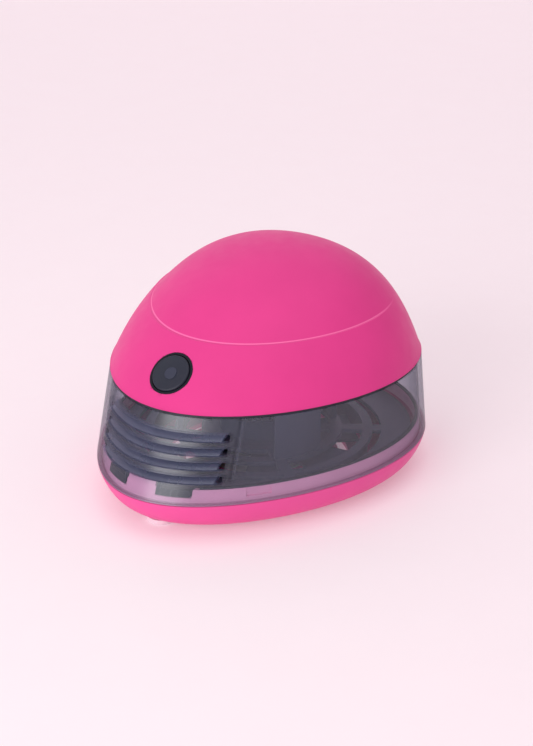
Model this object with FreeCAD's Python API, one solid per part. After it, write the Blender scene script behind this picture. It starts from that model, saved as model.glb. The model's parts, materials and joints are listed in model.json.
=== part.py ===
"""Desk-top fan aroma diffuser: pink dome, smoked louvre band, fan cradle and base.

Millimetres.  +Z is up, -Y is the nose with the louvres, X is the width, and the origin is under
the middle of the body at the height of the surface it stands on.
"""
import FreeCAD, Part
import os
from math import atan2, cos, degrees, hypot, pi, radians, sin, tan

V = FreeCAD.Vector

# ---------------------------------------------------------------- overall sizes
body_length = 130.0          # nose to tail at the band's bottom edge
mid_width = 108.8            # width at half the length
foot_stand = 1.0             # how far the feet hold the base off the table
base_height = 12.7           # base bowl, from its underside to the band's bottom edge
band_height = 28.3           # smoked band
dome_height = 37.8           # pink dome above the seam

# ---------------------------------------------------------------- shape of the shells
girth_egg = 0.215            # how much fuller the tail is than the nose
seam_egg = 0.152
dome_egg = 0.095
seam_setback = (11.0, 2.0, 1.9)        # from the girth: at the nose, the tail and each side
shoulder_setback = (24.8, 8.6, 5.7)    # dome's second control ring
crown_setback = (54.9, 16.2, 17.3)     # dome's third control ring
shoulder_rise = 14.9                   # height of the second ring above the seam
crown_centre_y = 20.1                  # where the dome is highest
bowl_centre_y = 7.65                   # the bowl's rings shrink about this point
bowl_turn = (0.952, 0.83, 0.714)       # bowl's control rings, as shares of the girth
bowl_turn_rise = 0.8                   # height of the first of them above the underside
ring_poles_count = 24

# ---------------------------------------------------------------- walls, gaps and fits
dome_wall = 2.2
band_wall = 1.6
bowl_wall = 1.8
rim_wall = 1.6
nest_gap = 0.4               # between the base rim and the band around it
lift_gap = 0.3               # between the base's ledge and the band's bottom edge
deck_gap = 0.9               # between the deck's edge and the inside of the rim
running_gap = 0.05           # radial, shaft in bush and plunger in switch
slip_gap = 0.1               # radial, fixed parts that push together

# ---------------------------------------------------------------- seam line and rim
seam_line_height = 0.7       # dark reveal strip between dome and band
seam_line_inset = 0.45
rim_height = 4.4             # rim above the band's bottom edge
tongue_height = 5.9          # raised middle of the rim at the nose
tongue_half_width = 5.6
seal_height = 0.5            # dark strip on the rim's top
seal_start = 19.0            # half the gap in the strip at the nose
clip_inner = 6.4             # clip: from here to clip_outer each side of the middle
clip_outer = 17.0
clip_rise = (2.1, 4.4)       # clip block's underside and top above the band's bottom edge
clip_neck_width = 1.1
clip_neck_top = 6.0
clip_depth = 1.5
notch_gap = 0.4              # round a clip, in the rim
snap_size = (8.6, 2.6, 0.5)  # snap recess in the rim's side: width, height, depth
snap_angles = (-42.0, 60.0)  # where they sit, each mirrored

# ---------------------------------------------------------------- louvres
louvre_count = 4
louvre_pitch = 4.45
louvre_slot = 2.6            # height of one slot
louvre_first_drop = 5.6      # seam down to the first slot's top edge
louvre_half_width = 25.5
blade_end_gap = 2.4          # slot left open beyond each end of a blade
blade_wall = 0.9
blade_rise = 2.0
blade_lean = 2.0
end_rib = (0.9, 1.4)         # upright rib beside the slots: width and depth

# ---------------------------------------------------------------- fan, deck and cradle
fan_y = 4.5                  # the fan's axis
deck_drop = 0.1              # deck's top below the band's bottom edge
deck_thickness = 1.6
deck_slots = ((20.5, 26.0), (30.0, 37.5), (41.0, 44.0))     # inner and outer radius of each ring
spoke_count = 5
spoke_first = -39.3          # degrees from +X
spoke_width = 4.5
impeller_tip_gap = 1.5       # between the impeller and the shroud around it
shroud_wall = 1.4
shroud_lift = 2.8            # shroud's lower edge above the bowl's floor
leg_radius = 28.0            # middle of a leg's wall
leg_wall = 2.0
leg_over_seam = 2.0          # legs end this far above the seam
leg_shelf = 7.0              # inward shelf at a leg's top, with the screw in its middle
leg_spans = ((-43.0, -6.0), (48.0, 72.0))                   # degrees, each mirrored
boss_radius = 3.4
boss_wall_keep = 1.0         # how far a boss stops short of the dome's outside

# ---------------------------------------------------------------- motor and impeller
motor_radius = 12.2
motor_length = 12.3
motor_wall = 0.8
magnet_wall = 1.8
cup_height = 7.0
cup_wall = 1.5
boss_nose = 1.4              # how far the front bush's boss stands out of the can
bush_boss_radius = 3.0
bush_boss_wall = 0.8
shaft_radius = 1.0
air_gap = 1.0                # between the armature and the magnets
armature_length = 5.5
armature_clearance = 2.4     # under the armature
pole_wall = 1.2
magnet_span = 140.0          # degrees
magnet_margin = (2.2, 2.4)   # under and over the magnets
motor_screw_inset = 4.0      # from the can's outside to the screws' circle
terminal_inset = 5.2
terminal_size = (0.6, 2.4, 5.2)
impeller_radius = 36.5
impeller_hub_radius = 9.0
impeller_drop = 2.0          # impeller's top below the deck's underside
impeller_depth = 4.6
impeller_blades = 7
impeller_blade_wall = 1.1
impeller_blade_sweep = 34.0  # degrees taken up by one blade

# ---------------------------------------------------------------- button, switch and board
button_station = 0.19        # place along the nose profile, 0 at the seam and 1 at the crown
button_radius = 6.7
button_proud = 0.3
button_depth = 3.4
button_gap = 0.3
button_travel = 1.0
button_round = 0.6           # edge of the button's face
dot_round = 0.2
neck_relief = 0.6            # the neck behind the cap is this much thinner all round
collar_wall = 0.8
collar_flange = 1.0
collar_flange_wall = 0.8
collar_over_wall = 3.0       # how far the collar reaches past the dome's wall
flange_wall = 1.0
flange_overhang = 0.9        # button's flange beyond the collar's bore
flange_gap = 0.15
dish_radius = 5.9            # finger dish in the button's face
dish_depth = 0.55
dot_radius = 2.2             # raised dot in the middle of the dish
dot_height = 0.3
board_drop = 12.0            # board's outer face below the dome's outside, along the button's axis
board_depth = 15.0
board_thickness = 1.6
board_post_radius = 2.4
board_post_gap = 0.4         # between a post and the collar's flange
switch_size = (6.0, 6.0, 3.5)
switch_floor = 1.2           # under the plunger's well
plunger_radius = 1.7
plunger_stand = 1.6
plunger_over_travel = 0.1    # room under the plunger at the end of its travel
stem_radius = 2.2

# ---------------------------------------------------------------- inlet jack
jack_station = 0.17          # place along the tail profile
jack_bore_radius = 2.75
jack_bore_depth = 9.0
jack_barrel_radius = 3.9
jack_flange_radius = 5.4
jack_flange = 1.2
jack_sink = 0.6              # how deep the flange sits in the dome
jack_length = 13.0
jack_pin_radius = 1.05
jack_pin_recess = 1.0        # pin's tip inside the mouth
jack_nut_radius = 5.6
jack_nut_gap = 0.4
jack_nut = 2.0

# ---------------------------------------------------------------- small parts
screw_radius = 1.3
screw_head_radius = 2.5
screw_head = 1.5
board_screw_length = 5.0
cradle_screw_length = 8.0
wire_radius = 0.6
pad_radius = 19.5
pad_thickness = 1.6
pad_gap = 0.4
pad_wall = 1.0
pad_wall_height = 1.2
intake_margin = 2.1          # from the pad's wall to the first ring of intake slots
intake_slot = 3.5
intake_rib = 2.5             # between the two rings
intake_spokes = 6
intake_spoke_width = 4.0
foot_radius = 5.2
foot_recess = 0.8
front_foot_inset = 14.2      # from the nose
rear_foot_inset = (24.4, 23.0)         # from the side and from the tail, mirrored

# ---------------------------------------------------------------- worked out from the above
band_bottom = foot_stand + base_height
seam_z = band_bottom + band_height
crown_z = seam_z + dome_height
deck_top = band_bottom - deck_drop
deck_bottom = deck_top - deck_thickness
impeller_top = deck_bottom - impeller_drop
impeller_bottom = impeller_top - impeller_depth
shaft_bottom = impeller_bottom + 0.6
leg_top = seam_z + leg_over_seam
rim_inset = band_wall + nest_gap
cavity_inset = rim_inset + rim_wall
bowl_floor = foot_stand + bowl_wall
shroud_bottom = bowl_floor + shroud_lift
shroud_radius = impeller_radius + impeller_tip_gap
collar_bore = button_radius + button_gap
collar_radius = collar_bore + collar_wall
collar_length = dome_wall + collar_over_wall
board_width = 2 * (collar_radius + collar_flange + board_post_gap + 2 * board_post_radius)
can_floor = deck_top
can_top = deck_top + motor_length
can_bore = motor_radius - motor_wall
cap_bottom = can_top - 2 * motor_wall
armature_radius = can_bore - magnet_wall - air_gap
motor_screw_circle = motor_radius - motor_screw_inset
terminal_circle = motor_radius - terminal_inset
bush_radius = bush_boss_radius - bush_boss_wall
fan_axis = V(0, fan_y, 0)


# ================================================================ rings and shells
class Ring:
    """Egg-shaped plan outline: reach to the nose and the tail, half width and egg factor."""

    def __init__(self, front, rear, half_width, egg):
        self.front = front
        self.rear = rear
        self.half_width = half_width
        self.egg = egg

    def inset(self, amount):
        return Ring(self.front - amount, self.rear - amount, self.half_width - amount, self.egg)

    def back_from(self, setback, egg):
        nose, tail, side = setback
        return Ring(self.front - nose, self.rear - tail, self.half_width - side, egg)

    def scaled(self, share):
        """Shrunk about the bowl's centre."""
        front = (self.front + bowl_centre_y) * share - bowl_centre_y
        rear = (self.rear - bowl_centre_y) * share + bowl_centre_y
        return Ring(front, rear, self.half_width * share, self.egg)

    def blend(self, other, share):
        keep = 1.0 - share
        half_width = keep * self.half_width + share * other.half_width
        lean = keep * self.half_width * self.egg + share * other.half_width * other.egg
        return Ring(keep * self.front + share * other.front, keep * self.rear + share * other.rear,
                    half_width, lean / half_width)

    def point(self, angle, z):
        centre = (self.rear - self.front) / 2
        reach = (self.rear + self.front) / 2
        x = self.half_width * cos(angle) * (1 + self.egg * sin(angle))
        return V(x, centre + reach * sin(angle), z)

    def poles(self, z):
        """Control points of the periodic cubic spline that runs along this outline."""
        step = 2 * pi / ring_poles_count
        first = 3 / (2 + cos(step))            # undoes the spline's pull on the plain circle term
        second = 3 / (2 + cos(2 * step))       # and on the egg term
        centre = (self.rear - self.front) / 2
        reach = (self.rear + self.front) / 2
        points = []
        for index in range(ring_poles_count):
            angle = step * index
            x = self.half_width * (first * cos(angle) + second * self.egg * sin(2 * angle) / 2)
            points.append(V(x, centre + first * reach * sin(angle), z))
        return points

    def wire(self, z):
        curve = Part.BSplineCurve()
        knots = list(range(ring_poles_count + 1))
        curve.buildFromPolesMultsKnots(self.poles(z), [1] * len(knots), knots, True, 3)
        return Part.Wire([curve.toShape()])


girth = Ring(body_length / 2, body_length / 2, mid_width / 2, girth_egg)
seam = girth.back_from(seam_setback, seam_egg)
shoulder = girth.back_from(shoulder_setback, dome_egg)
crown = girth.back_from(crown_setback, dome_egg)


def band_ring(z, inset=0.0):
    """The band's outline at a height, or a given distance inside it."""
    return girth.blend(seam, (z - band_bottom) / band_height).inset(inset)


def band_solid(low, high, inset, high_inset=None):
    """A plug that fills the band's outline between two heights, each end with its own inset."""
    if high_inset is None:
        high_inset = inset
    ends = [band_ring(low, inset).wire(low), band_ring(high, high_inset).wire(high)]
    return Part.makeLoft(ends, True, True)


def band_shell(low, high, outer_inset, wall):
    over = 1.0
    return band_solid(low, high, outer_inset).cut(band_solid(low - over, high + over, outer_inset + wall))


def smooth_solid(rows, closed_top):
    """Solid under a smooth surface through rings (ring, z); the last row may close to a point."""
    grid = []
    for ring, z in rows:
        if isinstance(ring, Ring):
            grid.append(ring.poles(z))
        else:
            grid.append([V(0, ring, z)] * ring_poles_count)
    by_angle = [[row[index] for row in grid] for index in range(ring_poles_count)]
    knots = list(range(ring_poles_count + 1))
    surface = Part.BSplineSurface()
    surface.buildFromPolesMultsKnots(by_angle, [1] * len(knots), [4, 4], knots, [0.0, 1.0],
                                     True, False, 3, 3)
    side = surface.toShape()
    faces = [side, Part.Face(rows[0][0].wire(rows[0][1]))]
    if not closed_top:
        faces.append(Part.Face(rows[-1][0].wire(rows[-1][1])))
    shell = Part.makeShell(faces)
    shell.sewShape()
    solid = Part.makeSolid(shell)
    if solid.Volume < 0:
        solid.reverse()
    return solid


def dome_solid(inset, drop):
    """The dome's form down to the seam, pulled in by inset and down by drop at the crown."""
    rows = [(seam.inset(inset), seam_z),
            (shoulder.inset(inset), seam_z + shoulder_rise - drop / 2),
            (crown.inset(inset), crown_z - drop),
            (crown_centre_y, crown_z - drop)]
    return smooth_solid(rows, True)


def bowl_solid(inset, floor, top):
    """The base bowl's form between its floor and a height near the band's bottom edge."""
    ring = girth.inset(inset)
    rise = bowl_turn_rise
    rows = [(ring, top)]
    rows.append((ring.scaled(bowl_turn[0]), floor + rise))
    rows.append((ring.scaled(bowl_turn[1]), floor))
    rows.append((ring.scaled(bowl_turn[2]), floor))
    return smooth_solid(rows, False)


# ================================================================ small helpers
def profile(rear, station):
    """Point and outward direction on the dome's centre line, at the nose or the tail."""
    rows = []
    for ring, z in ((seam, seam_z), (shoulder, seam_z + shoulder_rise), (crown, crown_z)):
        rows.append(V(0, ring.rear if rear else -ring.front, z))
    rows.append(V(0, crown_centre_y, crown_z))
    rest = 1 - station
    weights = (rest ** 3, 3 * rest ** 2 * station, 3 * rest * station ** 2, station ** 3)
    place = V(0, 0, 0)
    for weight, row in zip(weights, rows):
        place = place + row * weight
    slopes = (rest ** 2, 2 * rest * station, station ** 2)
    along = V(0, 0, 0)
    for index, slope in enumerate(slopes):
        along = along + (rows[index + 1] - rows[index]) * slope
    along.normalize()
    outward = V(0, along.z, -along.y) if rear else V(0, -along.z, along.y)
    return place, outward


def rod(radius, start, direction, length):
    return Part.makeCylinder(radius, length, start, direction)


def tube(outer, inner, start, direction, length):
    return rod(outer, start, direction, length).cut(rod(inner, start, direction, length))


def upright(radius, x, y, low, high):
    return rod(radius, V(x, y, low), V(0, 0, 1), high - low)


def sector(inner, outer, first, last, low, high):
    """Part of a ring round the fan's axis, between two angles in degrees."""
    base = Part.makeCylinder(outer, high - low, V(0, 0, low), V(0, 0, 1), last - first)
    base = base.cut(Part.makeCylinder(inner, high - low, V(0, 0, low)))
    base.rotate(V(0, 0, 0), V(0, 0, 1), first)
    base.translate(fan_axis)
    return base


def block(width, depth, height, centre, direction):
    """Box with its width along X and its height along a direction in the YZ plane."""
    box = Part.makeBox(width, depth, height, V(-width / 2, -depth / 2, 0))
    box.Placement = FreeCAD.Placement(V(0, 0, 0), FreeCAD.Rotation(V(0, 0, 1), direction))
    box.translate(centre)
    return box


def mirrored(shape):
    return shape.mirror(V(0, 0, 0), V(1, 0, 0))


def both_sides(shapes):
    return list(shapes) + [mirrored(shape) for shape in shapes]


def screw(head_seat, direction, length):
    """Pan-head screw: its shank runs along direction from the seat, its head sits behind it."""
    shank = rod(screw_radius, head_seat, direction, length)
    head = rod(screw_head_radius, head_seat, direction * -1, screw_head)
    slot_size = 0.6
    slot = block(slot_size, 2 * screw_head_radius, slot_size, head_seat - direction * screw_head, direction)
    return shank.fuse(head).cut(slot).removeSplitter()


def rounded_path(points):
    """Straight runs joined by tangent arcs, each arc as large as its runs allow."""
    edges = []
    start = points[0]
    for index in range(1, len(points) - 1):
        corner = points[index]
        back = points[index - 1] - corner
        ahead = points[index + 1] - corner
        turn = pi - back.getAngle(ahead)
        shorter = min(back.Length, ahead.Length)
        reach = 0.45 * shorter
        radius = reach / tan(turn / 2)
        back.normalize()
        ahead.normalize()
        enter = corner + back * reach
        leave = corner + ahead * reach
        bisector = back + ahead
        bisector.normalize()
        middle = corner + bisector * (hypot(radius, reach) - radius)
        edges.append(Part.LineSegment(start, enter).toShape())
        edges.append(Part.Arc(enter, middle, leave).toShape())
        start = leave
    edges.append(Part.LineSegment(start, points[-1]).toShape())
    return Part.Wire(edges)


def wire_lead(points, radius):
    path = rounded_path(points)
    direction = points[1] - points[0]
    circle = Part.Wire([Part.Circle(points[0], direction, radius).toShape()])
    return path.makePipeShell([circle], True, False)


def export(name, shapes):
    shape = shapes[0] if len(shapes) == 1 else Part.makeCompound(shapes)
    shape.exportStep("parts/" + name + ".step")
    box = shape.BoundBox
    print("%-18s %2d solid(s) %9.1f mm3 valid %s  z %.2f..%.2f" % (
        name, len(shape.Solids), shape.Volume, shape.isValid(), box.ZMin, box.ZMax))


# ================================================================ places
button_point, button_out = profile(False, button_station)
button_in = button_out * -1
jack_point, jack_out = profile(True, jack_station)
jack_in = jack_out * -1
board_outer_face = button_point + button_in * board_drop
leg_middles = [(first + last) / 2 for first, last in leg_spans]
leg_hole_radius = leg_radius - leg_wall / 2 - leg_shelf / 2


def on_leg(angle):
    turn = radians(angle)
    return leg_hole_radius * cos(turn), fan_y + leg_hole_radius * sin(turn)


def board_post_places():
    reach = board_width / 2 - board_post_radius
    return [board_outer_face + V(side * reach, 0, 0) for side in (-1, 1)]


# ================================================================ upper housing
def make_dome_cover():
    outer = dome_solid(0.0, 0.0)
    shell = outer.cut(dome_solid(dome_wall, dome_wall))
    keep = dome_solid(boss_wall_keep, boss_wall_keep)
    bosses = []
    for angle in leg_middles:
        x, y = on_leg(angle)
        boss = upright(boss_radius, x, y, leg_top, crown_z).common(keep)
        bosses.extend(both_sides([boss]))
    for place in board_post_places():
        bosses.append(rod(board_post_radius, place, button_out, board_drop).common(keep))
    shell = shell.fuse(bosses)
    pilot = screw_radius
    for angle in leg_middles:
        x, y = on_leg(angle)
        hole = upright(pilot, x, y, leg_top, leg_top + cradle_screw_length)
        shell = shell.cut(both_sides([hole]))
    for place in board_post_places():
        shell = shell.cut(rod(pilot, place, button_out, board_screw_length))
    past = 2 * dome_wall
    shell = shell.cut(rod(collar_radius, button_point + button_in * past, button_out, 2 * past))
    shell = shell.cut(rod(jack_barrel_radius + slip_gap, jack_point + jack_in * past, jack_out, 2 * past))
    seat = rod(jack_flange_radius + slip_gap, jack_point + jack_in * jack_sink, jack_out, past)
    return shell.cut(seat)


def make_seam_gasket():
    wall = band_wall + 1.0 - seam_line_inset
    low = seam_z - seam_line_height
    return band_shell(low, seam_z, seam_line_inset, wall)


def louvre_tops():
    return [seam_z - louvre_first_drop - louvre_pitch * index for index in range(louvre_count)]


def make_smoked_band():
    top = seam_z - seam_line_height
    band = band_shell(band_bottom, top, 0.0, band_wall)
    nose = -body_length
    width = 2 * louvre_half_width
    for slot_top in louvre_tops():
        slot = Part.makeBox(width, body_length, louvre_slot,
                            V(-louvre_half_width, nose, slot_top - louvre_slot))
        band = band.cut(slot)
    blade_half = louvre_half_width - blade_end_gap
    pieces = []
    for slot_top in louvre_tops():
        low = slot_top - louvre_slot - blade_wall / 2
        lean = band_wall * 0.35
        outer = band_solid(low, low + blade_rise + blade_wall / 2, lean, lean + blade_lean)
        inner = band_solid(low, low + blade_rise + blade_wall / 2, lean + blade_wall * 1.3,
                           lean + blade_wall * 1.3 + blade_lean)
        keep = Part.makeBox(2 * blade_half, body_length, blade_rise + blade_wall,
                            V(-blade_half, nose, low))
        pieces.append(outer.cut(inner).common(keep))
    rib_width, rib_depth = end_rib
    rib_low = band_bottom + rim_height + 2.5
    rib = band_shell(rib_low, top, band_wall - 0.2, rib_depth)
    keep = Part.makeBox(rib_width, body_length, band_height + base_height,
                        V(louvre_half_width + 0.6, nose, 0))
    pieces.extend(both_sides([rib.common(keep)]))
    return band.fuse(pieces)


def make_front_clips():
    under, over = clip_rise
    whole = band_shell(band_bottom + under, band_bottom + clip_neck_top, band_wall, clip_depth)
    depth = body_length
    lower = Part.makeBox(clip_outer - clip_inner, depth, over - under,
                         V(clip_inner, -depth, band_bottom + under))
    neck = Part.makeBox(clip_neck_width, depth, clip_neck_top - under,
                        V(clip_inner, -depth, band_bottom + under))
    return both_sides([whole.common(lower.fuse(neck).removeSplitter())])


def make_fan_cradle():
    edge = band_ring(band_bottom + tongue_height, cavity_inset + deck_gap).wire(deck_bottom)
    deck = Part.Face(edge).extrude(V(0, 0, deck_thickness))
    pitch = 360.0 / spoke_count
    for inner, outer in deck_slots:
        middle = (inner + outer) / 2
        half_spoke = degrees(spoke_width / 2 / middle)
        for index in range(spoke_count):
            first = spoke_first + pitch * index + half_spoke
            last = spoke_first + pitch * (index + 1) - half_spoke
            deck = deck.cut(sector(inner, outer, first, last, deck_bottom, deck_top))
    parts = [sector(shroud_radius, shroud_radius + shroud_wall, 0, 360, shroud_bottom, deck_bottom)]
    parts.append(sector(motor_radius + slip_gap, motor_radius + slip_gap + cup_wall, 0, 360,
                        deck_top, deck_top + cup_height))
    low_radius = leg_radius - leg_wall / 2
    legs = []
    for first, last in leg_spans:
        wall = sector(low_radius, low_radius + leg_wall, first, last, deck_top, leg_top)
        shelf = sector(low_radius - leg_shelf, low_radius, first, last, leg_top - leg_wall, leg_top)
        legs.append(wall.fuse(shelf))
    mirrored_legs = both_sides(legs)
    cradle = deck.fuse(parts + mirrored_legs)
    for angle in leg_middles:
        x, y = on_leg(angle)
        hole = upright(screw_radius + slip_gap, x, y, leg_top - leg_wall - 1, leg_top + 1)
        cradle = cradle.cut(both_sides([hole]))
    cradle = cradle.cut(upright(bush_boss_radius + slip_gap, 0, fan_y, deck_bottom, deck_top))
    for side in (-1, 1):
        hole = upright(screw_radius + slip_gap, side * motor_screw_circle, fan_y, deck_bottom, deck_top)
        cradle = cradle.cut(hole)
    return cradle.removeSplitter()


def make_cradle_screws():
    screws = []
    for angle in leg_middles:
        x, y = on_leg(angle)
        screws.append(screw(V(x, y, leg_top - leg_wall), V(0, 0, 1), cradle_screw_length))
    return both_sides(screws)


# ================================================================ motor and impeller
def make_motor_can():
    can = upright(motor_radius, 0, fan_y, can_floor, can_top)
    can = can.cut(upright(can_bore, 0, fan_y, can_floor + motor_wall, can_top))
    nose = upright(bush_boss_radius, 0, fan_y, can_floor - boss_nose, can_floor)
    can = can.fuse(nose)
    can = can.cut(upright(bush_radius, 0, fan_y, can_floor - boss_nose, can_floor + motor_wall))
    for side in (-1, 1):
        can = can.cut(upright(screw_radius, side * motor_screw_circle, fan_y, can_floor,
                              can_floor + motor_wall))
    return can.removeSplitter()


def make_motor_magnets():
    low = can_floor + motor_wall + magnet_margin[0]
    high = can_top - magnet_margin[1]
    inner = can_bore - magnet_wall
    half = magnet_span / 2
    return [sector(inner, can_bore, turn - half, turn + half, low, high) for turn in (0, 180)]


def make_motor_bushes():
    bore = shaft_radius + running_gap
    rear_stand = 1.0
    bushes = []
    for low, high in ((can_floor - boss_nose, can_floor + motor_wall), (cap_bottom, can_top + rear_stand)):
        bush = upright(bush_radius, 0, fan_y, low, high)
        bushes.append(bush.cut(upright(bore, 0, fan_y, low, high)))
    return bushes


def terminal_places():
    """Lower corners of the two terminals."""
    width, depth, _ = terminal_size
    return [V(side * terminal_circle - width / 2, fan_y - depth / 2, cap_bottom) for side in (-1, 1)]


def make_motor_cap():
    """Brush-card cap that closes the can, with two terminal slots."""
    cap = upright(can_bore, 0, fan_y, cap_bottom, can_top)
    cap = cap.cut(upright(bush_radius, 0, fan_y, cap_bottom, can_top))
    width, depth, _ = terminal_size
    for corner in terminal_places():
        cap = cap.cut(Part.makeBox(width, depth, can_top - cap_bottom, corner))
    return cap


def make_motor_terminals():
    return [Part.makeBox(*terminal_size, corner) for corner in terminal_places()]


def make_motor_screws():
    places = [V(side * motor_screw_circle, fan_y, deck_bottom) for side in (-1, 1)]
    return [screw(place, V(0, 0, 1), deck_thickness + motor_wall) for place in places]


def make_motor_shaft():
    stand = 0.6
    return upright(shaft_radius, 0, fan_y, shaft_bottom, can_top + stand)


def make_armature():
    """Three-pole core with its commutator, on the shaft inside the can."""
    low = can_floor + motor_wall + armature_clearance
    high = low + armature_length
    core_radius = 4.2
    commutator_radius = 2.6
    commutator_gap = 0.4
    pole_half = 48.0
    web_half = 12.0
    body = upright(core_radius, 0, fan_y, low, high)
    inner = armature_radius - pole_wall
    for turn in (0, 120, 240):
        pole = sector(inner, armature_radius, turn - pole_half, turn + pole_half, low, high)
        web = sector(core_radius / 2, inner + pole_wall / 2, turn - web_half, turn + web_half, low, high)
        body = body.fuse([pole, web])
    body = body.fuse(upright(commutator_radius, 0, fan_y, high, cap_bottom - commutator_gap))
    return body.cut(upright(shaft_radius, 0, fan_y, low, can_top)).removeSplitter()


def make_impeller():
    hub_wall = 1.2
    boss_wall = 1.4
    hub = upright(impeller_hub_radius, 0, fan_y, impeller_bottom, impeller_top)
    hollow = upright(impeller_hub_radius - hub_wall, 0, fan_y, impeller_bottom + hub_wall, impeller_top)
    boss = upright(shaft_radius + boss_wall, 0, fan_y, impeller_bottom, impeller_top)
    hub = hub.cut(hollow).fuse(boss)
    pitch = 360.0 / impeller_blades
    hub = hub.fuse([impeller_blade(index * pitch) for index in range(impeller_blades)])
    return hub.cut(upright(shaft_radius, 0, fan_y, shaft_bottom, impeller_top)).removeSplitter()


def impeller_blade(angle):
    """Pitched blade: a loft between its root and tip sections."""
    low = impeller_bottom + 0.2
    rise = impeller_depth - 0.4
    root = (impeller_hub_radius - 0.5, 1.1, 1.0)       # radius, share of the sweep and of the rise
    tip = (impeller_radius, 0.72, 0.72)
    sections = []
    for radius, sweep, climb in (root, tip):
        half = radians(impeller_blade_sweep / 2 * sweep)
        trail = V(radius * cos(-half), radius * sin(-half), low)
        lead = V(radius * cos(half), radius * sin(half), low + rise * climb)
        thick = V(0, 0, impeller_blade_wall)
        sections.append(Part.makePolygon([trail, lead, lead + thick, trail + thick, trail]))
    blade = Part.makeLoft(sections, True, True)
    blade = blade.common(Part.makeCylinder(impeller_radius, impeller_top - low, V(0, 0, low)))
    blade.rotate(V(0, 0, 0), V(0, 0, 1), angle)
    blade.translate(fan_axis)
    return blade


# ================================================================ button and switch
def make_button_collar():
    start = button_point + button_in * collar_length
    collar = tube(collar_radius, collar_bore, start, button_out, collar_length)
    collar = collar.common(dome_solid(0.0, 0.0))
    flange = tube(collar_radius + collar_flange, collar_bore, start, button_out, collar_flange_wall)
    return collar.fuse(flange).removeSplitter()


def make_power_button():
    top = button_point + button_out * button_proud
    cap = rounded_disc(button_radius, button_depth, top, button_round)
    ball_radius = (dish_radius ** 2 + dish_depth ** 2) / (2 * dish_depth)
    cap = cap.cut(Part.makeSphere(ball_radius, top + button_out * (ball_radius - dish_depth)))
    dot_top = top + button_out * (dot_height - dish_depth)
    dot = rounded_disc(dot_radius, 2 * dot_height, dot_top, dot_round)
    skirt_start = button_point + button_in * (collar_length + flange_gap + flange_wall)
    flange = rod(collar_bore + flange_overhang, skirt_start, button_out, flange_wall)
    neck_length = collar_length + flange_gap + flange_wall + button_proud - button_depth
    neck = rod(button_radius - neck_relief, skirt_start, button_out, neck_length)
    stem_top = plunger_top_place()
    stem = rod(stem_radius, stem_top, button_out, (skirt_start - stem_top).dot(button_out))
    return cap.fuse([dot, flange, neck, stem]).removeSplitter()


def rounded_disc(radius, depth, top, corner):
    """Disc square to the button's axis, with its outer edge rounded."""
    disc = rod(radius, top + button_in * depth, button_out, depth)
    edges = [edge for edge in disc.Edges if edge.CenterOfMass.distanceToPoint(top) < depth / 2]
    return disc.makeFillet(corner, edges)


def plunger_top_place():
    return board_outer_face + button_out * (switch_size[2] + plunger_stand)


def make_switch_case():
    width, depth, height = switch_size
    case = block(width, depth, height, board_outer_face, button_out)
    floor = board_outer_face + button_out * switch_floor
    return case.cut(rod(plunger_radius + running_gap, floor, button_out, height))


def make_switch_plunger():
    start = board_outer_face + button_out * (switch_floor + button_travel + plunger_over_travel)
    length = (plunger_top_place() - start).dot(button_out)
    return rod(plunger_radius, start, button_out, length)


def make_switch_board():
    start = board_outer_face + button_in * board_thickness
    board = block(board_width, board_depth, board_thickness, start, button_out)
    for place in board_post_places():
        hole = rod(screw_radius + slip_gap, place + button_in * board_thickness, button_out, board_thickness)
        board = board.cut(hole)
    return board


def make_board_screws():
    end_room = 0.6
    seats = [place + button_in * board_thickness for place in board_post_places()]
    return [screw(seat, button_out, board_thickness + board_screw_length - end_room) for seat in seats]


# ================================================================ inlet jack and wires
def make_dc_jack():
    seat = jack_point + jack_in * jack_sink
    flange = rod(jack_flange_radius, seat, jack_out, jack_flange)
    barrel_length = jack_length - jack_sink
    barrel = rod(jack_barrel_radius, jack_point + jack_in * jack_length, jack_out, barrel_length)
    jack = flange.fuse(barrel)
    mouth = seat + jack_out * jack_flange
    jack = jack.cut(rod(jack_bore_radius, mouth + jack_in * jack_bore_depth, jack_out, jack_bore_depth))
    hole = rod(jack_pin_radius, jack_point + jack_in * jack_length, jack_out, jack_length)
    return jack.cut(hole).removeSplitter()


def make_jack_pin():
    length = jack_length - jack_sink + jack_flange - jack_pin_recess
    return rod(jack_pin_radius, jack_point + jack_in * jack_length, jack_out, length)


def make_jack_nut():
    start = jack_point + jack_in * (dome_wall + jack_nut_gap + jack_nut)
    corners = []
    for index in range(7):
        angle = pi / 3 * index
        corners.append(V(jack_nut_radius * cos(angle), jack_nut_radius * sin(angle), 0))
    nut = Part.Face(Part.makePolygon(corners)).extrude(V(0, 0, jack_nut))
    nut.Placement = FreeCAD.Placement(V(0, 0, 0), FreeCAD.Rotation(V(0, 0, 1), jack_out))
    nut.translate(start)
    return nut.cut(rod(jack_barrel_radius, start, jack_out, jack_nut))


def make_wire_leads():
    """Feed wires from the jack to the board, and motor wires from the board to the motor."""
    board_back = board_outer_face + button_in * board_thickness
    jack_back = jack_point + jack_in * jack_length
    leads = []
    for side in (-1, 1):
        across = V(side, 0, 0)
        feed = [jack_back + across * 2.4, jack_back + across * 2.4 + jack_in * 6,
                V(side * 5, 30, seam_z + 14), V(side * 8, 10, seam_z + 19), V(side * 8, -12, seam_z + 16),
                board_back + across * 7 + button_in * 8, board_back + across * 7]
        leads.append(wire_lead(feed, wire_radius))
        top = V(side * terminal_circle, fan_y, cap_bottom + terminal_size[2])
        motor = [board_back + across * 3, board_back + across * 3 + button_in * 7,
                 V(side * 5, -10, top.z + 9), top + V(0, 0, 6), top]
        leads.append(wire_lead(motor, wire_radius))
    return leads


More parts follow.
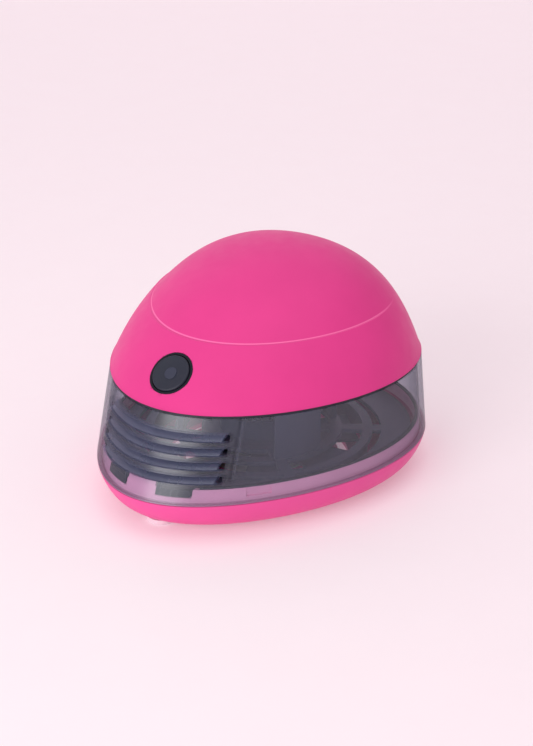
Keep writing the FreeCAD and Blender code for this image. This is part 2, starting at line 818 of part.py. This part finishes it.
# ================================================================ base
def make_base_bowl():
    ledge = band_bottom - lift_gap
    outer = bowl_solid(0.0, foot_stand, ledge)
    rim_top = band_bottom + rim_height
    rim = band_solid(ledge - 2.0, rim_top, rim_inset)
    tongue_top = band_bottom + tongue_height
    tongue = band_solid(ledge - 2.0, tongue_top, rim_inset)
    keep = Part.makeBox(2 * tongue_half_width, body_length, tongue_top,
                        V(-tongue_half_width, -body_length, 0))
    body = outer.fuse([rim, tongue.common(keep)])
    cavity = bowl_solid(cavity_inset, bowl_floor, ledge)
    well = band_solid(ledge - 0.01, tongue_top + 1, cavity_inset)
    body = body.cut(cavity).cut(well)
    return finish_base(body)


def finish_base(body):
    notch_low = band_bottom + clip_rise[0] - notch_gap
    height = tongue_height + 1
    notch = Part.makeBox(clip_outer - clip_inner + 2 * notch_gap, body_length, height,
                         V(clip_inner - notch_gap, -body_length, notch_low))
    body = body.cut(both_sides([notch]))
    body = body.cut(both_sides([snap_recess(angle) for angle in snap_angles]))
    pitch = 360.0 / intake_spokes
    through = 0.5
    inner = pad_radius + pad_gap
    ring = inner + pad_wall + intake_margin
    for _ in range(2):
        half_spoke = degrees(intake_spoke_width / 2 / ring)
        for index in range(intake_spokes):
            first = 30 + pitch * index + half_spoke
            last = 30 + pitch * (index + 1) - half_spoke
            body = body.cut(sector(ring, ring + intake_slot, first, last, foot_stand - through,
                                   bowl_floor + through))
        ring = ring + intake_slot + intake_rib
    body = body.fuse(sector(inner, inner + pad_wall, 0, 360, bowl_floor - through,
                            bowl_floor + pad_wall_height))
    for x, y in foot_places():
        body = body.cut(upright(foot_radius, x, y, 0, foot_stand + foot_recess))
    return body


def snap_recess(angle):
    """Shallow pocket in the rim's outside, square to the rim there."""
    width, height, depth = snap_size
    turn = radians(angle)
    middle = band_bottom + rim_height - 0.4 - height / 2
    ring = band_ring(middle, rim_inset)
    place = ring.point(turn, middle)
    ahead = ring.point(turn + 0.01, middle) - place
    outward = degrees(atan2(-ahead.x, ahead.y))
    box = Part.makeBox(2 * depth, width, height, V(-depth, -width / 2, -height / 2))
    box.rotate(V(0, 0, 0), V(0, 0, 1), outward)
    box.translate(place)
    return box


def make_rim_seal():
    low = band_bottom + rim_height
    shy = 0.2                # how far the seal stays inside each edge of the rim
    seal = band_shell(low, low + seal_height, rim_inset + shy, rim_wall - 2 * shy)
    gap = Part.makeBox(2 * seal_start, body_length, 2 * seal_height,
                       V(-seal_start, -body_length, low - seal_height / 2))
    return seal.cut(gap)


def foot_places():
    side, tail = rear_foot_inset
    x = mid_width / 2 - side
    y = body_length / 2 - tail
    return [(0.0, front_foot_inset - body_length / 2), (x, y), (-x, y)]


def make_rubber_feet():
    feet = []
    for x, y in foot_places():
        foot = upright(foot_radius, x, y, 0, foot_stand + foot_recess)
        bottom = [edge for edge in foot.Edges if edge.BoundBox.ZMax < 0.01]
        feet.append(foot.makeFillet(0.5, bottom))
    return feet


def make_scent_pad():
    return upright(pad_radius, 0, fan_y, bowl_floor, bowl_floor + pad_thickness)


# ================================================================ write the parts
def main():
    os.makedirs("parts", exist_ok=True)
    export("base_bowl", [make_base_bowl()])
    export("rim_seal", [make_rim_seal()])
    export("rubber_feet", make_rubber_feet())
    export("scent_pad", [make_scent_pad()])
    export("dome_cover", [make_dome_cover()])
    export("seam_gasket", [make_seam_gasket()])
    export("smoked_band", [make_smoked_band()])
    export("front_clips", make_front_clips())
    export("fan_cradle", [make_fan_cradle()])
    export("cradle_screws", make_cradle_screws())
    export("motor_can", [make_motor_can()])
    export("motor_magnets", make_motor_magnets())
    export("motor_bushes", make_motor_bushes())
    export("motor_cap", [make_motor_cap()])
    export("motor_terminals", make_motor_terminals())
    export("motor_screws", make_motor_screws())
    export("motor_shaft", [make_motor_shaft()])
    export("armature", [make_armature()])
    export("impeller", [make_impeller()])
    export("button_collar", [make_button_collar()])
    export("power_button", [make_power_button()])
    export("switch_case", [make_switch_case()])
    export("switch_plunger", [make_switch_plunger()])
    export("switch_board", [make_switch_board()])
    export("board_screws", make_board_screws())
    export("dc_jack", [make_dc_jack()])
    export("jack_pin", [make_jack_pin()])
    export("jack_nut", [make_jack_nut()])
    export("wire_leads", make_wire_leads())


main()
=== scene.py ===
"""Looks for the desk-top fan diffuser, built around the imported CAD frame."""
import json
import math
import bmesh
import bpy
from mathutils import Matrix, Vector, noise


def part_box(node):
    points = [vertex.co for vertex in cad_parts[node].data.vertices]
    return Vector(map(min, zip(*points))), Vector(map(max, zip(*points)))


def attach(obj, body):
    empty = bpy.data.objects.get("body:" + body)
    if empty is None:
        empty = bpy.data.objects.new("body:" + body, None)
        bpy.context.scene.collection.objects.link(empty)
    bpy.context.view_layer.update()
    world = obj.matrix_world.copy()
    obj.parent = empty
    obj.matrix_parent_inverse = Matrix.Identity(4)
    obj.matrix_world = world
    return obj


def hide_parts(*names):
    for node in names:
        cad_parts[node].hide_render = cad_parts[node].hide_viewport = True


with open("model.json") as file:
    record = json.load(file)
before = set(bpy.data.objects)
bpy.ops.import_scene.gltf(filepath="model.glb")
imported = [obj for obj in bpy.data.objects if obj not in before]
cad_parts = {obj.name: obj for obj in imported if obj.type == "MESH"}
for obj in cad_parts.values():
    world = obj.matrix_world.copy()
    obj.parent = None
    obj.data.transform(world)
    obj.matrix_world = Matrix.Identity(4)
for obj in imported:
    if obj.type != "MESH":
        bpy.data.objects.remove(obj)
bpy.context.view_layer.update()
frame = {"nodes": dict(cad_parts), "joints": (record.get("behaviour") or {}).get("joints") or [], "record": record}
MM = 0.001
nodes = frame["nodes"]
joints = {joint["name"]: joint for joint in frame["joints"]}
mounts = {mount["name"]: mount for mount in frame["record"]["mounts"]}


# ------------------------------------------------------------------ shader helpers
def srgb(red, green, blue):
    """8-bit display colour to linear light."""
    out = []
    for value in (red, green, blue):
        share = value / 255.0
        out.append(share / 12.92 if share <= 0.04045 else ((share + 0.055) / 1.055) ** 2.4)
    return (*out, 1.0)


def scaled(colour, share):
    return tuple(min(1.0, channel * share) for channel in colour[:3]) + (1.0,)


class Shader:
    """A node material with the few node shapes used here."""

    def __init__(self, name):
        self.material = bpy.data.materials.new(name)
        self.material.use_nodes = True
        self.tree = self.material.node_tree
        self.tree.nodes.clear()
        self.output = self.tree.nodes.new("ShaderNodeOutputMaterial")
        self.surface = self.tree.nodes.new("ShaderNodeBsdfPrincipled")
        self.link(self.surface.outputs["BSDF"], self.output.inputs["Surface"])
        self.place = self.tree.nodes.new("ShaderNodeTexCoord").outputs["Object"]

    def link(self, source, target):
        self.tree.links.new(source, target)

    def feed(self, target, value):
        if isinstance(value, bpy.types.NodeSocket):
            self.link(value, target)
        else:
            target.default_value = value

    def node(self, kind, inputs=(), **settings):
        made = self.tree.nodes.new(kind)
        for key, value in settings.items():
            setattr(made, key, value)
        for key, value in dict(inputs).items():
            self.feed(made.inputs[key], value)
        return made

    def set(self, **values):
        for key, value in values.items():
            self.feed(self.surface.inputs[key.replace("_", " ")], value)

    def noise(self, size_mm, detail=3.0):
        """Noise whose lumps are about size_mm across."""
        return self.node("ShaderNodeTexNoise", {"Vector": self.place, "Scale": 1.0 / (size_mm * MM),
                         "Detail": detail}).outputs["Fac"]

    def span(self, source, low, high, from_low=0.3, from_high=0.7):
        """A value stretched from one range to another."""
        return self.node("ShaderNodeMapRange", {"Value": source, "From Min": from_low,
                         "From Max": from_high, "To Min": low, "To Max": high}).outputs["Result"]

    def mix(self, share, first, second):
        made = self.tree.nodes.new("ShaderNodeMix")
        made.data_type = "RGBA"
        for index, value in ((0, share), (6, first), (7, second)):
            self.feed(made.inputs[index], value)
        return made.outputs[2]

    def bump(self, height, distance_mm):
        made = self.node("ShaderNodeBump", {"Height": height, "Distance": distance_mm * MM,
                         "Strength": 1.0})
        self.link(made.outputs["Normal"], self.surface.inputs["Normal"])
        return made.outputs["Normal"]

    def maths(self, operation, *values):
        """Result of a maths node, whose inputs are sockets or numbers."""
        return self.node("ShaderNodeMath", dict(enumerate(values)), operation=operation).outputs[0]

    def axis(self, name, source=None):
        """One coordinate of the surface's place, or of another vector."""
        return self.node("ShaderNodeSeparateXYZ", {"Vector": source or self.place}).outputs[name]

    def base_colour(self):
        """Socket that feeds the base colour so far."""
        return self.surface.inputs["Base Color"].links[0].from_socket

    def blend(self, share, first, second):
        """Mix of two shaders."""
        return self.node("ShaderNodeMixShader", {0: share, 1: first, 2: second}).outputs[0]


def moulded(name, colour, rough, grain_mm=0.6, grain=0.02, shade=0.05):
    """Moulded plastic or rubber: slow colour drift, uneven gloss and a fine grain."""
    made = Shader(name)
    drift = made.span(made.noise(22.0), 0.0, 1.0)
    made.set(Base_Color=made.mix(drift, scaled(colour, 1 - shade), scaled(colour, 1 + shade)))
    made.set(Roughness=made.span(made.noise(5.0), rough * 0.88, rough * 1.15))
    made.bump(made.noise(grain_mm, 2.0), grain)
    return made


def metal(name, colour, rough):
    """Bare metal with a drifting tone and a very fine grain."""
    made = Shader(name)
    drift = made.span(made.noise(3.0), 0.0, 1.0)
    made.set(Base_Color=made.mix(drift, scaled(colour, 0.8), colour), Metallic=1.0)
    made.set(Roughness=made.span(made.noise(1.2), rough * 0.7, rough * 1.3))
    made.bump(made.noise(0.25, 2.0), 0.01)
    return made


def between(made, value, low_mm, high_mm, soft_mm):
    """1 where a coordinate lies between two values, fading over soft_mm at each."""
    soft = soft_mm * MM
    above = made.span(value, 0.0, 1.0, low_mm * MM - soft, low_mm * MM + soft)
    below = made.span(value, 1.0, 0.0, high_mm * MM - soft, high_mm * MM + soft)
    return made.maths("MULTIPLY", above, below)


# Block round the louvres in mm: low, high and fade width along each axis.
louvre_block = {"X": (-24.5, 24.5, 1.0), "Y": (-80.0, -20.0, 0.5), "Z": (19.5, 36.5, 0.5)}


def louvre_zone(made):
    """1 over the louvres at the nose."""
    zone = 1.0
    for name, limits in louvre_block.items():
        zone = made.maths("MULTIPLY", zone, between(made, made.axis(name), *limits))
    return zone


def smoked(name):
    """Clear smoke-tinted plastic: a tinted pass-through, a little haze and a glossy skin, with painted shade and
    highlights on the blades and a painted highlight along the lower edge.
    """
    made = Shader(name)
    # Painted highlight: a paler pink strip with extra haze along the band's lower edge, just above the ledge.
    edge_highlight_height = 0.7                # paler strip along the lower edge, in mm
    edge_highlight = made.span(made.axis("Z"), 0.7, 0.0, ledge_height * MM, (ledge_height + edge_highlight_height) * MM)
    body = made.mix(made.span(made.noise(15.0), 0.0, 1.0), srgb(96, 102, 134), srgb(112, 116, 146))
    made.set(Base_Color=made.mix(edge_highlight, body, srgb(226, 160, 195)))
    made.set(Roughness=made.span(made.noise(9.0), 0.25, 0.35))
    ripple = made.bump(made.noise(14.0, 1.0), 0.03)

    # Darker where the wall is seen at a slant, and a painted shade, darkest of all, on the undersides of the
    # blades.
    facing = made.node("ShaderNodeLayerWeight", {"Blend": 0.5}).outputs["Facing"]
    slant = made.maths("POWER", facing, 2.5)
    tint = made.mix(slant, (0.90, 0.905, 0.935, 1.0), (0.36, 0.37, 0.43, 1.0))
    zone = louvre_zone(made)
    slope = made.axis("Z", made.node("ShaderNodeNewGeometry").outputs["Normal"])
    underside_painted_shade = made.maths("MULTIPLY", zone, made.span(slope, 1.0, 0.0, -0.7, -0.3))
    upper_face_painted_highlight = made.maths("MULTIPLY", zone, made.span(slope, 0.0, 0.45, 0.3, 0.7))
    # Painted shade: the blades' undersides turn near-black.
    tint = made.mix(underside_painted_shade, tint, (0.10, 0.10, 0.13, 1.0))
    clear = made.node("ShaderNodeBsdfTransparent", {"Color": tint})

    # Hazier on the blades' upper faces and along the lower edge: painted highlights on both.
    haze = made.span(made.noise(20.0), 0.05, 0.09)
    for extra in (upper_face_painted_highlight, edge_highlight):
        haze = made.maths("ADD", haze, extra)
    cloudy = made.blend(haze, clear.outputs[0], made.surface.outputs[0])
    gloss = made.node("ShaderNodeBsdfGlossy", {"Color": (1.0, 1.0, 1.0, 1.0), "Roughness": 0.3,
                      "Normal": ripple})
    mirror = made.span(made.maths("POWER", facing, 8.0), 0.035, 0.5, 0.0, 1.0)
    made.link(made.blend(mirror, cloudy, gloss.outputs[0]), made.output.inputs["Surface"])
    return made


def felted(name, colour):
    """Pressed felt: matted fibres as stretched noise in two directions."""
    made = Shader(name)
    fibres = []
    for turn in (0.0, 1.9):
        spun = made.node("ShaderNodeMapping", {"Vector": made.place, "Rotation": (0.0, 0.0, turn),
                         "Scale": (1.0, 7.0, 1.0)})
        fibre = made.node("ShaderNodeTexNoise", {"Vector": spun.outputs[0], "Scale": 1.0 / (2.0 * MM),
                          "Detail": 4.0})
        fibres.append(fibre.outputs["Fac"])
    matted = made.maths("MAXIMUM", *fibres)
    tone = made.span(matted, 0.0, 1.0, 0.45, 0.7)
    made.set(Base_Color=made.mix(tone, scaled(colour, 0.72), colour), Roughness=0.95, Sheen_Weight=0.3)
    made.bump(matted, 0.25)
    return made


def button_face_middle():
    """Middle of the outermost points on the button's cap."""
    outward = -Vector(joints["power_press"]["axis"])
    corners = [vertex.co for vertex in nodes["power_button"].data.vertices]
    reach = max(corner.dot(outward) for corner in corners)
    ring = [corner for corner in corners if corner.dot(outward) > reach - 0.02 * MM]
    return sum(ring, Vector((0, 0, 0))) / len(ring)


def soft_touch(name, colour, dot_colour):
    """Button rubber with a paler dot in the middle of its face."""
    made = moulded(name, colour, 0.55, grain_mm=0.3)
    away = made.node("ShaderNodeVectorMath", {0: made.place, 1: button_face_middle()},
                     operation="DISTANCE").outputs["Value"]
    dot = made.span(away, 1.0, 0.0, dot_radius, dot_radius + dot_fade)
    made.set(Base_Color=made.mix(dot, made.base_colour(), dot_colour))
    return made


def shell_pink(name, colour, painted_light_colour, zone):
    """Satin pink plastic with painted light: it goes lighter in the zone which a function gives."""
    made = moulded(name, colour, 0.42, grain_mm=0.5, grain=0.006, shade=0.03)
    made.set(Base_Color=made.mix(zone(made), made.base_colour(), painted_light_colour), Specular_IOR_Level=0.15)
    return made


def crease_highlight_zone(made):
    """1 along the dome's crease, where a painted highlight is drawn as a lighter line, and 0 at the tail."""
    climb = made.maths("MULTIPLY_ADD", made.axis("Y"), -crease_climb,
                       (crease_climb * crease_y - crease_height) * MM)
    height = made.maths("ADD", made.axis("Z"), climb)
    line = between(made, height, -0.1, 0.15, 0.08)
    ahead = made.span(made.axis("Y"), 1.0, 0.0, crease_fade[0] * MM, crease_fade[1] * MM)
    return made.maths("MULTIPLY", line, ahead)


def rim_painted_light_zone(made):
    """1 on the base's rim, above the ledge that the band comes down to, where the rim is painted paler as painted
    light.
    """
    above_all = 100.0
    return between(made, made.axis("Z"), ledge_height, above_all, 0.1)


dot_radius = 2.2 * MM
dot_fade = 0.25 * MM

# Crease of the dome in mm: a plane that climbs towards the tail cuts the step into the surface.
crease_height = 59.7                 # at crease_y
crease_y = -33.4
crease_climb = 0.053
crease_depth = 0.4
crease_width = 0.4                   # height over which the step happens
crease_reach = 12.0                  # the cap is back on the plain form this far above the step
crease_fade = (12.0, 31.0)           # the step dies away between these y
ledge_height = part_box("smoked_band")[0][2] / MM - 0.15   # half a gap under the band

# Painted highlight: a lighter pink line along the dome's crease.
pink = shell_pink("pink_shell", srgb(226, 64, 140), srgb(250, 116, 176), crease_highlight_zone)
# Painted light: the base's rim above the ledge is painted a paler pink.
pink_base = shell_pink("pink_base", srgb(233, 86, 155), srgb(253, 180, 214), rim_painted_light_zone)
smoke = smoked("smoked_clear")
grey = moulded("grey_moulding", srgb(72, 76, 100), 0.45, grain=0.003)
dark = moulded("dark_moulding", srgb(30, 34, 50), 0.42)
collar = moulded("collar_moulding", srgb(16, 19, 30), 0.55)
collar.set(Specular_IOR_Level=0.25)
rubber = moulded("dark_rubber", srgb(24, 28, 42), 0.6, grain_mm=0.3)
button_rubber = soft_touch("button_rubber", srgb(23, 28, 46), srgb(42, 46, 66))
clear_rubber = moulded("clear_rubber", srgb(240, 216, 226), 0.35)
steel = metal("zinc_steel", srgb(190, 192, 196), 0.3)
bronze = metal("bronze", srgb(176, 136, 84), 0.35)
ferrite = moulded("ferrite", srgb(52, 52, 56), 0.6)
board = moulded("solder_mask", srgb(30, 46, 52), 0.4)
jacket = moulded("wire_jacket", srgb(44, 46, 62), 0.4)
felt = felted("felt", srgb(236, 232, 222))

looks = {
    "base_bowl": pink_base, "dome_cover": pink, "rim_seal": rubber, "seam_gasket": rubber,
    "rubber_feet": clear_rubber, "scent_pad": felt, "smoked_band": smoke, "front_clips": dark,
    "fan_cradle": grey, "cradle_screws": steel, "motor_can": steel, "motor_magnets": ferrite,
    "motor_bushes": bronze, "motor_cap": dark, "motor_terminals": bronze, "motor_screws": steel,
    "button_collar": collar, "switch_case": dark, "switch_board": board, "board_screws": steel,
    "dc_jack": dark, "jack_pin": steel, "jack_nut": steel, "wire_leads": jacket,
    "motor_shaft": steel, "armature": steel, "impeller": grey, "power_button": button_rubber,
    "switch_plunger": dark,
}


def dress(shape, look):
    """Gives every slot of a piece one material."""
    for slot in shape.material_slots:
        slot.material = look.material
    if not shape.material_slots:
        shape.data.materials.append(look.material)


for node_name, node_look in looks.items():
    dress(nodes[node_name], node_look)


# ------------------------------------------------------------------ mesh helpers
def add_piece(name, points, faces):
    mesh = bpy.data.meshes.new(name)
    mesh.from_pydata(points, [], faces)
    mesh.validate()
    for face in mesh.polygons:
        face.use_smooth = True
    piece = bpy.data.objects.new(name, mesh)
    bpy.context.collection.objects.link(piece)
    return piece


def apply_modifier(piece, kind, **settings):
    modifier = piece.modifiers.new(kind.lower(), kind)
    for key, value in settings.items():
        setattr(modifier, key, value)
    bpy.context.view_layer.objects.active = piece
    with bpy.context.temp_override(object=piece, active_object=piece, selected_objects=[piece]):
        bpy.ops.object.modifier_apply(modifier=modifier.name)


def rod(radius, start, end):
    """Closed cylinder between two points, to cut with."""
    along = Vector(end) - Vector(start)
    turn = along.to_track_quat("Z", "Y").to_matrix().to_4x4()
    form = bmesh.new()
    bmesh.ops.create_cone(form, cap_ends=True, segments=64, radius1=radius, radius2=radius,
                          depth=along.length)
    form.transform(Matrix.Translation((Vector(start) + Vector(end)) / 2) @ turn)
    mesh = bpy.data.meshes.new("rod")
    form.to_mesh(mesh)
    form.free()
    made = bpy.data.objects.new("rod", mesh)
    bpy.context.collection.objects.link(made)
    return made


def cut(piece, tool):
    """Cuts a helper shape out of a piece, then throws the helper away."""
    apply_modifier(piece, "BOOLEAN", object=tool, operation="DIFFERENCE", solver="EXACT")
    bpy.data.objects.remove(tool)


# ------------------------------------------------------------------ dome with its creased cap
# Plan outlines of the dome in mm: nose reach, tail reach, half width, egg factor and height.
dome_rings = ((54.0, 63.0, 52.5, 0.152, 42.0), (40.2, 56.4, 48.7, 0.095, 56.9),
              (10.1, 48.8, 37.1, 0.095, 79.8))
dome_peak = (20.1, 79.8)             # where it is highest: y and z
dome_wall = 2.2
edge_round = 0.5                     # lower outer edge
columns = 240
rows_below = 22
rows_step = 8
rows_above = 44
rows_inside = 40
first_share = 0.015                  # first row above the rounded lower edge
crowding_below = 1.6                 # how strongly rows crowd towards the crease
crowding_above = 1.25
edge_rows = 4                        # steps round the lower edge


def dome_point(angle, share, inset=0.0):
    """Point on the dome's form in mm: angle in plan, share 0 at the seam and 1 at the peak."""
    rest = 1.0 - share
    weights = (rest ** 3, 3 * rest ** 2 * share, 3 * rest * share ** 2)
    place = Vector((0.0, dome_peak[0], dome_peak[1] - inset)) * share ** 3
    for index, (front, rear, half, egg, z) in enumerate(dome_rings):
        centre = (rear - front) / 2
        reach = (rear + front) / 2 - inset
        width = (half - inset) * (1 + egg * math.sin(angle))
        ring = Vector((width * math.cos(angle), centre + reach * math.sin(angle), z - inset * index / 2))
        place += ring * weights[index]
    return place


def above_crease(place):
    return place.z - crease_height - crease_climb * (place.y - crease_y)


def smooth_step(value, low, high):
    share = min(1.0, max(0.0, (value - low) / (high - low)))
    return share * share * (3 - 2 * share)


def crease_share(angle):
    """Where the crease plane meets the dome at one angle."""
    low, high = 0.0, 1.0
    for _ in range(30):
        middle = (low + high) / 2
        if above_crease(dome_point(angle, middle)) < 0:
            low = middle
        else:
            high = middle
    return high


def dome_outside(angle, share):
    """Outer surface with the cap set in above the crease."""
    place = dome_point(angle, share)
    if share >= 1.0:
        return place
    nudge = 1e-4
    ahead = dome_point(angle + nudge, share) - place
    rise = dome_point(angle, min(1.0, share + nudge)) - dome_point(angle, max(0.0, share - nudge))
    normal = ahead.cross(rise).normalized()
    height = above_crease(place)
    step = smooth_step(height, -crease_width / 2, crease_width / 2)
    fade = 1 - smooth_step(place.y, *crease_fade)
    depth = crease_depth * step * fade * (1 - smooth_step(height, 0.0, crease_reach))
    return place - normal * depth


def dome_shares(meeting, half_step):
    """Rows from just above the lower edge to just under the peak, crowded round the crease."""
    below = meeting - half_step - first_share
    above = 1 - meeting - half_step
    low, high = meeting - half_step, meeting + half_step
    shares = [first_share + below * (1 - (1 - index / rows_below) ** crowding_below)
              for index in range(rows_below)]
    shares += [low + 2 * half_step * index / rows_step for index in range(rows_step + 1)]
    shares += [high + above * (index / rows_above) ** crowding_above for index in range(1, rows_above)]
    return shares


def dome_column(angle):
    """Points round the lower edge and up the outside, then points down the inside."""
    outer_edge = dome_point(angle, 0.0)
    inward = dome_point(angle, 0.0, dome_wall) - outer_edge
    inward.normalize()
    outside = []
    for part in range(edge_rows + 1):
        turn = math.pi / 2 / edge_rows * part
        outside.append(outer_edge + inward * edge_round * (1 - math.sin(turn))
                       + Vector((0, 0, edge_round * (1 - math.cos(turn)))))
    meeting = crease_share(angle)
    probe = 0.01
    climb = (dome_point(angle, meeting + probe) - dome_point(angle, meeting - probe)).z / (2 * probe)
    outside += [dome_outside(angle, share) for share in dome_shares(meeting, crease_width / climb)]
    inside = [dome_point(angle, 1 - part / rows_inside, dome_wall) for part in range(1, rows_inside + 1)]
    return outside, inside


def dome_shell():
    """Closed shell: outside up to the peak, inside back down, and a flat lower edge between."""
    points = [dome_point(0.0, 1.0), dome_point(0.0, 1.0, dome_wall)]
    strips = [dome_column(2 * math.pi * index / columns) for index in range(columns)]
    for outside, inside in strips:
        points += outside + inside
    tall = len(strips[0][0])
    rows = tall + len(strips[0][1])
    faces = []
    for index in range(columns):
        here = 2 + index * rows
        there = 2 + (index + 1) % columns * rows
        for row in range(rows):
            following = (row + 1) % rows
            if row == tall - 1:
                faces.append((here + row, there + row, 0))
                faces.append((1, there + following, here + following))
            else:
                faces.append((here + row, there + row, there + following, here + following))
    return add_piece("dome_skin", [place * MM for place in points], faces)


def cut_button_hole(shell):
    """Hole that the button's collar stands in."""
    collar_low, collar_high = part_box("button_collar")
    radius = (collar_high[0] - collar_low[0]) / 2 - collar_flange
    button_low, button_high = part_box("power_button")
    centre = (Vector(button_low) + Vector(button_high)) / 2
    reach = Vector(joints["power_press"]["axis"]) * button_reach
    cut(shell, rod(radius, centre - reach, centre + reach))


def cut_jack_hole(shell):
    """Hole for the power socket, with a seat for its flange."""
    place = Vector(mounts["dc_inlet"]["pos_m"])
    outward = Vector(mounts["dc_inlet"]["axis"])
    for radius, depth in ((jack_hole, jack_reach), (jack_seat, jack_sink)):
        cut(shell, rod(radius, place - outward * depth, place + outward * jack_reach))


collar_flange = 1.0 * MM             # of the collar, behind the dome's wall
button_reach = 30 * MM               # how far the cutters run, each way
jack_reach = 10 * MM
jack_hole = 4.0 * MM
jack_seat = 5.5 * MM
jack_sink = 0.6 * MM

dome = dome_shell()
dress(dome, pink)
cut_button_hole(dome)
cut_jack_hole(dome)
for face in dome.data.polygons:
    face.use_smooth = True
apply_modifier(dome, "WEIGHTED_NORMAL", keep_sharp=True)
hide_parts("dome_cover")
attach(dome, "upper_housing")


# ------------------------------------------------------------------ felt pad in the base
pad_sides = 120
pad_face_rings = 25
pad_edge_steps = 9
pad_under_rings = 12
pad_edge_round = 0.42                # as a share of the thickness
pad_crown = 0.12
lump_size = 3 * MM
lump_height = 0.06 * MM


def pad_profile(radius, thick):
    """Reach and height, from near the middle of the face round the edge to near the middle below."""
    corner = thick * pad_edge_round
    crown = thick * pad_crown
    flat = radius - corner
    profile = []
    for part in range(1, pad_face_rings + 1):
        share = part / pad_face_rings
        profile.append((flat * share, thick - crown * share ** 2))
    for part in range(1, pad_edge_steps):
        turn = math.pi * part / pad_edge_steps
        profile.append((flat + corner * math.sin(turn), (thick - crown) / 2 * (1 + math.cos(turn))))
    for part in range(pad_under_rings, 0, -1):
        profile.append((flat * part / pad_under_rings, 0.0))
    return profile


def felt_disc():
    """Crowned disc with a rounded edge and a slightly uneven face."""
    low, high = Vector(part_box("scent_pad")[0]), Vector(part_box("scent_pad")[1])
    centre = (low + high) / 2
    thick = high.z - low.z
    profile = pad_profile((high.x - low.x) / 2, thick)
    points = [Vector((centre.x, centre.y, high.z)), Vector((centre.x, centre.y, low.z))]
    for index in range(pad_sides):
        turn = 2 * math.pi * index / pad_sides
        for reach, height in profile:
            place = Vector((centre.x + reach * math.cos(turn), centre.y + reach * math.sin(turn), 0))
            lump = abs(noise.noise(place / lump_size)) * lump_height if height > thick / 2 else 0.0
            points.append(Vector((place.x, place.y, low.z + height - lump)))
    rows = len(profile)
    faces = []
    for index in range(pad_sides):
        here = 2 + index * rows
        there = 2 + (index + 1) % pad_sides * rows
        faces.append((0, here, there))
        faces.append((1, there + rows - 1, here + rows - 1))
        faces += [(here + row, here + row + 1, there + row + 1, there + row) for row in range(rows - 1)]
    return add_piece("felt_pad", points, faces)


pad = felt_disc()
dress(pad, felt)
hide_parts("scent_pad")
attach(pad, "base")


# ------------------------------------------------------------------ floor, light and camera
camera_azimuth = 35.75
camera_elevation = 22.3
camera_distance = 0.560
camera_lens = 76.5
look_point = Vector((0.0, 7.65 * MM, 46.0 * MM))   # stays left of and above the frame's middle
look_right = 1.04 * MM
look_down = 12.25 * MM


def make_camera():
    azimuth = math.radians(camera_azimuth)
    elevation = math.radians(camera_elevation)
    back = Vector((math.sin(azimuth) * math.cos(elevation), -math.cos(azimuth) * math.cos(elevation),
                   math.sin(elevation)))
    right = Vector((math.cos(azimuth), math.sin(azimuth), 0))
    up = back.cross(right)
    data = bpy.data.cameras.new("camera")
    data.lens = camera_lens
    data.sensor_width = 36.0
    data.clip_start = 0.01
    data.clip_end = 50.0
    made = bpy.data.objects.new("camera", data)
    made.location = look_point + back * camera_distance
    aim = look_point + right * look_right - up * look_down
    made.rotation_mode = "QUATERNION"
    made.rotation_quaternion = (aim - made.location).to_track_quat("-Z", "Y")
    bpy.context.collection.objects.link(made)
    bpy.context.scene.camera = made
    return right


floor_near = -3.0                    # metres from the object, along the camera's heading
bend_start = 1.1
bend_radius = 0.5
bend_steps = 12
backdrop_height = 3.0
floor_half_width = 4.0


def stage_floor():
    """Pale floor that curves up into a backdrop behind the object."""
    rows = [(floor_near, 0.0), (bend_start, 0.0)]
    for index in range(1, bend_steps + 1):
        angle = math.pi / 2 * index / bend_steps
        rows.append((bend_start + bend_radius * math.sin(angle), bend_radius * (1 - math.cos(angle))))
    rows.append((bend_start + bend_radius, backdrop_height))
    turn = math.radians(camera_azimuth)
    across = Vector((math.cos(turn), math.sin(turn), 0))
    away = Vector((-math.sin(turn), math.cos(turn), 0))
    points = []
    faces = []
    for along, height in rows:
        for side in (-floor_half_width, floor_half_width):
            points.append(across * side + away * along + Vector((0, 0, height)))
    for index in range(len(rows) - 1):
        low = index * 2
        faces.append((low, low + 1, low + 3, low + 2))
    floor = add_piece("floor", points, faces)
    paper = moulded("floor_paper", srgb(226, 214, 219), 0.9, grain_mm=1.5, grain=0.01, shade=0.006)
    paper.set(Emission_Color=srgb(253, 237, 243), Emission_Strength=0.26)
    dress(floor, paper)


def lamp(name, place, aim, size, power):
    """Rectangular lamp of a size in metres and a power in watts, turned to a point."""
    data = bpy.data.lights.new(name, "AREA")
    data.shape = "RECTANGLE"
    data.size, data.size_y = size
    data.energy = power
    made = bpy.data.objects.new(name, data)
    made.location = place
    made.rotation_mode = "QUATERNION"
    made.rotation_quaternion = (Vector(aim) - Vector(place)).to_track_quat("-Z", "Y")
    bpy.context.collection.objects.link(made)


right = make_camera()
stage_floor()
middle = Vector((0, 0, 0.045))
front = Vector((right.y, -right.x, 0))
lamp("key", middle + front * 0.75 - right * 0.55 + Vector((0, 0, 0.32)), middle, (0.7, 0.5), 5.0)
lamp("top", middle + front * 0.1 + Vector((0, 0, 1.2)), middle, (1.2, 1.2), 3.4)
lamp("wash", middle - front + Vector((0, 0, 1.1)), middle - front * 1.9, (1.6, 0.6), 2.4)

world = bpy.data.worlds.new("studio")
world.use_nodes = True
sky = world.node_tree.nodes["Background"].inputs
sky["Color"].default_value = srgb(250, 246, 248)
sky["Strength"].default_value = 0.58
bpy.context.scene.world = world
bpy.context.scene.view_settings.view_transform = "Standard"
